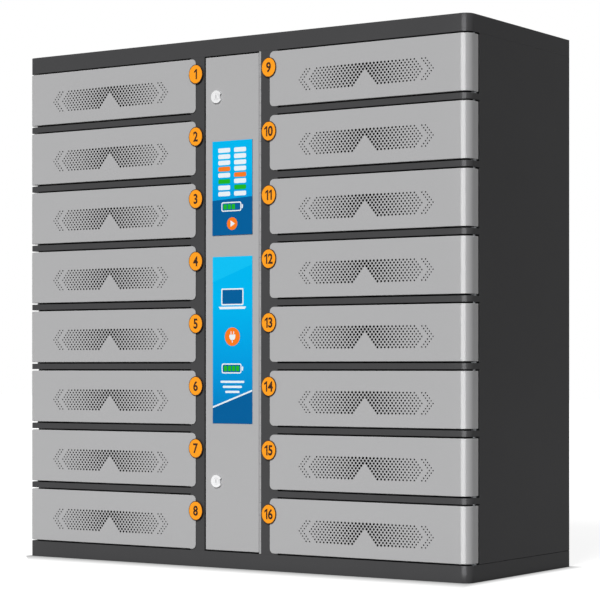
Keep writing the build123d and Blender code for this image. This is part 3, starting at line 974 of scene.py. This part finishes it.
def sign_shapes(width, height):
    """Three pictograms and three lines between slanted bands, in shares of the face's size."""
    half, top, bottom = width / 2, height / 2, -height / 2
    slant = width * 0.35
    left, right = bottom + slant * 0.9, bottom + slant * 1.9
    line = slant * 0.1
    shapes = [
        (1, ink_sky, [(-half, top), (half, top), (half, top - slant * 0.5), (-half, top - slant * 1.5)]),
        (1, ink_navy, [(-half, bottom), (half, bottom), (half, right), (-half, left)]),
        (1, ink_white, [(-half, left), (half, right), (half, right + line), (-half, left + line)]),
    ]
    shapes += laptop(0, height * 0.2, width * 0.56)
    shapes.append((2, ink_orange, ring((0, height * 0.02), width * 0.19, disc_steps)))
    shapes += plug(0, height * 0.02, width * 0.15)
    shapes += battery(-width * 0.02, -height * 0.17, width * 0.5, height * 0.06, 4)
    for row in range(3):
        v, length = height * (-0.25 - 0.03 * row), width * (0.6 - 0.12 * row)
        shapes.append((2, ink_white, rounded(0, v, length, width * 0.045, width * 0.02)))
    return shapes


def printed(name, node, blue, roughness, drawing):
    """A plate in a CAD node's place, with flat shapes on it. A shape is (layer, material, outline)."""
    low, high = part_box(node)
    face = graded(blue, blue_stops, low.z, high.z, roughness)
    plate = dressed(node, broad_edge, materials=(face, dark_plastic))
    for polygon in plate.data.polygons:
        # the housing behind the printed face
        polygon.material_index = 1 if polygon.center.y > low.y + face_depth else 0
    middle_x, middle_z = (low.x + high.x) / 2, (low.z + high.z) / 2
    materials = []
    form = bmesh.new()
    for layer, material, outline in drawing(high.x - low.x, high.z - low.z):
        if material not in materials:
            materials.append(material)
        front, back = (
            [(middle_x + u, y, middle_z + v) for u, v in outline]
            for y in (low.y - print_relief * layer, low.y + print_root)
        )
        for side in add_prism(form, front, back):
            side.material_index = materials.index(material)
    mesh = mesh_from(form, name)
    for material in materials:
        mesh.materials.append(material)
    finished(mesh, name, body_of[node], slot_of[node])


printed("display_print", "touch_display", "display_blue", 0.25, display_shapes)
printed("sign_print", "info_sign", "sign_blue", 0.35, sign_shapes)


# Floor and world: white where they are seen, and a soft, low light on the object

floor_size = 40.0
floor_tone = 0.3
floor_roughness = 0.9
# the floor is a little less white up to the first distance from the middle, and white from the second
near_level = 0.9
near_reach, far_reach = 0.8, 3.0
# painted shadow: a contact shadow painted into the floor darkens it within this distance of the cabinet's
# foot, down to this level at the foot
painted_shadow_reach = 80 * mm
painted_shadow_darkest = 0.42
# and the painted shadow fades faster on its left, on its right and behind it than in front, where it draws
# in at the left
left_haste = 12.0
right_haste = 2.4
back_haste = 4.0
left_slant = 1.0
ambient_level = 0.1


def seen_rays(tree):
    """1 for rays that show the background itself, and 0 for light that falls on the object."""
    path = tree.nodes.new("ShaderNodeLightPath")
    total = path.outputs["Is Camera Ray"]
    for more in ("Is Glossy Ray", "Is Transmission Ray"):
        total = math_step(tree, "MAXIMUM", total, path.outputs[more])
    return total


def contact_level(tree, place):
    """The level of the painted contact shadow round the cabinet's foot, from its darkest at the foot to 1.
    """
    (low_x, low_y, _), (high_x, high_y, _) = cad_box
    floor_x, floor_y, _ = coordinates(tree, place)
    ahead = math_step(tree, "SUBTRACT", low_y, floor_y)
    drawn_in = math_step(tree, "MULTIPLY", math_step(tree, "MAXIMUM", ahead, 0), left_slant)
    slanted_x = math_step(tree, "SUBTRACT", floor_x, drawn_in)
    from_foot = ahead
    for value, limit, haste in (
        (slanted_x, low_x, -left_haste),
        (floor_x, high_x, right_haste),
        (floor_y, high_y, back_haste),
    ):
        beyond = math_step(tree, "MULTIPLY", math_step(tree, "SUBTRACT", value, limit), haste)
        from_foot = math_step(tree, "MAXIMUM", from_foot, beyond)
    return ramped(tree, from_foot, 0.0, painted_shadow_reach, painted_shadow_darkest, 1.0)


def floor_material():
    """A matt tone that takes the object's shadow, under a white that only seen rays show; both are darkened
    by a painted contact shadow round the cabinet's foot.
    """
    made, tree, shader, place = node_tree("floor_white")
    # painted shadow: darkens both the white and the matt tone round the cabinet's foot
    shadow_paint = contact_level(tree, place)
    reach = tree.nodes.new("ShaderNodeVectorMath")
    reach.operation = "LENGTH"
    tree.links.new(place, reach.inputs[0])
    glow = ramped(tree, reach.outputs["Value"], near_reach, far_reach, near_level, 1.0)
    lift = math_step(tree, "MULTIPLY", math_step(tree, "MULTIPLY", seen_rays(tree), glow), shadow_paint)
    tree.links.new(lift, shader.inputs["Emission Strength"])
    tree.links.new(math_step(tree, "MULTIPLY", shadow_paint, floor_tone), shader.inputs["Base Color"])
    shader.inputs["Emission Color"].default_value = white
    shader.inputs["Roughness"].default_value = floor_roughness
    shader.inputs["Specular IOR Level"].default_value = 0.0
    return made


half_floor = floor_size / 2
floor_corners = [(u, v, 0) for u, v in rectangle(-half_floor, -half_floor, half_floor, half_floor)]
floor_mesh = bpy.data.meshes.new("floor")
floor_mesh.from_pydata(floor_corners, [], [(0, 1, 2, 3)])
floor_mesh.materials.append(floor_material())
floor = bpy.data.objects.new("floor", floor_mesh)
bpy.context.scene.collection.objects.link(floor)

world = bpy.data.worlds.new("studio")
world.use_nodes = True
background = world.node_tree.nodes["Background"]
world_level = ramped(world.node_tree, seen_rays(world.node_tree), 0.0, 1.0, ambient_level, 1.0)
world.node_tree.links.new(world_level, background.inputs["Strength"])
background.inputs["Color"].default_value = white
bpy.context.scene.world = world


# Lamps: a soft key for the whole front, and a narrow reflector that only gloss shows, for the bent corner

key_azimuth = 7
key_elevation = 35
key_softness = 25
key_strength = 3.38
reflector_azimuth = 10
reflector_inset = 0.6 * corner_radius
reflector_distance = 0.1
reflector_width = 0.1075
reflector_height = 1.09
reflector_power = 2.63


def lamp(name, kind, power, azimuth, elevation, target=(0, 0, 0), distance=0.0):
    """A lamp that looks at its target. Azimuth 0 is in front of it, and 90 is on its right."""
    side, up = math.radians(azimuth), math.radians(elevation)
    offset = Vector((math.sin(side) * math.cos(up), -math.cos(side) * math.cos(up), math.sin(up)))
    data = bpy.data.lights.new(name, kind)
    data.energy = power
    light = bpy.data.objects.new(name, data)
    light.location = Vector(target) + offset * distance
    light.rotation_euler = (-offset).to_track_quat("-Z", "Y").to_euler()
    bpy.context.scene.collection.objects.link(light)
    return light


key = lamp("key", "SUN", key_strength, key_azimuth, key_elevation)
key.data.angle = math.radians(key_softness)
key.visible_glossy = False

bend = (half_width - reflector_inset, door_front, reflector_height / 2)
reflector = lamp("reflector", "AREA", reflector_power, reflector_azimuth, 0, bend, reflector_distance)
reflector.data.shape = "RECTANGLE"
reflector.data.size = reflector_width
reflector.data.size_y = reflector_height
reflector.visible_diffuse = False
reflector.visible_camera = False


# Camera, fitted to the photograph

camera_yaw = 34.081
camera_distance = 4.37296
camera_height = 0.39605
camera_turn = 0.2425
focal_pixels = 2129.73
horizon_row = 368.18
frame_pixels = 600
sensor = 36.0

camera_data = bpy.data.cameras.new("camera")
camera_data.sensor_width = sensor
camera_data.lens = focal_pixels / frame_pixels * sensor
camera_data.shift_y = (horizon_row - frame_pixels / 2) / frame_pixels
camera = bpy.data.objects.new("camera", camera_data)
yaw = math.radians(camera_yaw)
camera.location = (math.sin(yaw) * camera_distance, -math.cos(yaw) * camera_distance, camera_height)
camera.rotation_euler = (math.pi / 2, 0, yaw - math.radians(camera_turn))
bpy.context.scene.collection.objects.link(camera)
bpy.context.scene.camera = camera
bpy.context.scene.view_settings.view_transform = "Standard"
